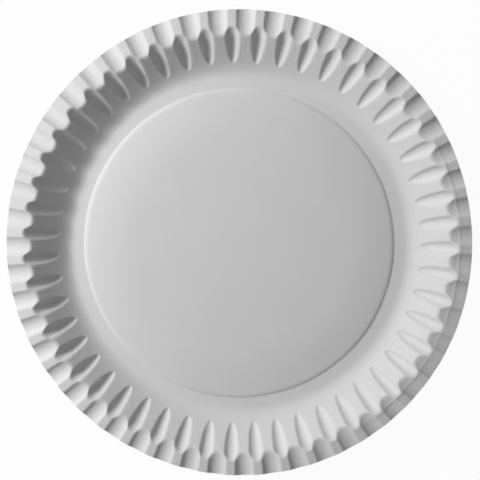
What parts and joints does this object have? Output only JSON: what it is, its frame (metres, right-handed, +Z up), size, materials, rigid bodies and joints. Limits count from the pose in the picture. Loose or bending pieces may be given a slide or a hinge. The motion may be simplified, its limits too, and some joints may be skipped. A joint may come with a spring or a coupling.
{
  "type": "paper plate",
  "caption": "Round disposable paper plate, pressed from one sheet, with a raised flat middle, a sloping wall and a fluted, scalloped rim.",
  "frame": {"origin": "under the plate's centre, on the surface that its standing ring rests on", "axes": "+Z up through the plate's centre, out of its open side; +X out along the middle of one wall flute"},
  "size_m": [0.23, 0.23, 0.0162],
  "materials": {
    "board": "matte"
  },
  "bodies": {
    "root": {"plate": "board"}
  },
  "joints": []
}
